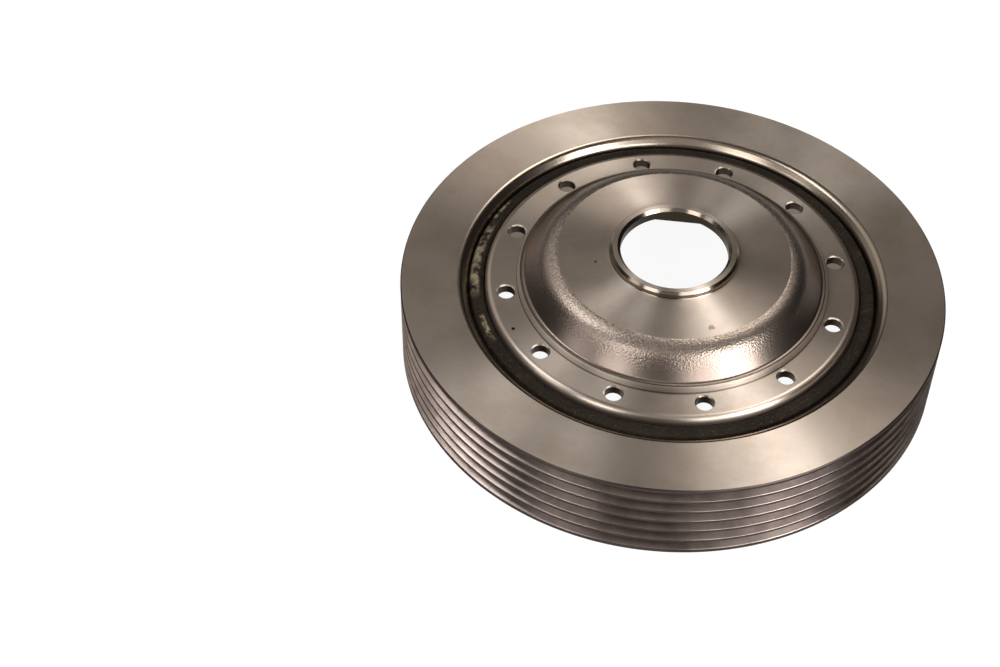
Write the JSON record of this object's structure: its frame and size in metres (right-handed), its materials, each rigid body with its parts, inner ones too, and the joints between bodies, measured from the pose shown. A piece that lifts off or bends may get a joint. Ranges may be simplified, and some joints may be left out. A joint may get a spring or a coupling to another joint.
{
  "type": "harmonic balancer",
  "caption": "Crankshaft vibration damper: a dished steel hub with a centre bore and a ring of holes, in a rubber ring and a V-grooved belt pulley ring.",
  "frame": {"origin": "centre of the pulley ring's rear face, on the axis of rotation", "axes": "+Z along the axis of rotation, out of the front with the dome; +X through the middle of one of the twelve flange holes"},
  "size_m": [0.133, 0.133, 0.0331],
  "materials": {
    "hub_steel": "turned flange, seat and collar; rough pressed flank between them",
    "rubber": "matt black moulded rubber, dusty on its swelled front",
    "ring_iron": "fine turned face and turned belt grooves"
  },
  "bodies": {
    "root": {"hub": "hub_steel", "rubber_ring": "rubber", "pulley_ring": "ring_iron"}
  },
  "joints": []
}
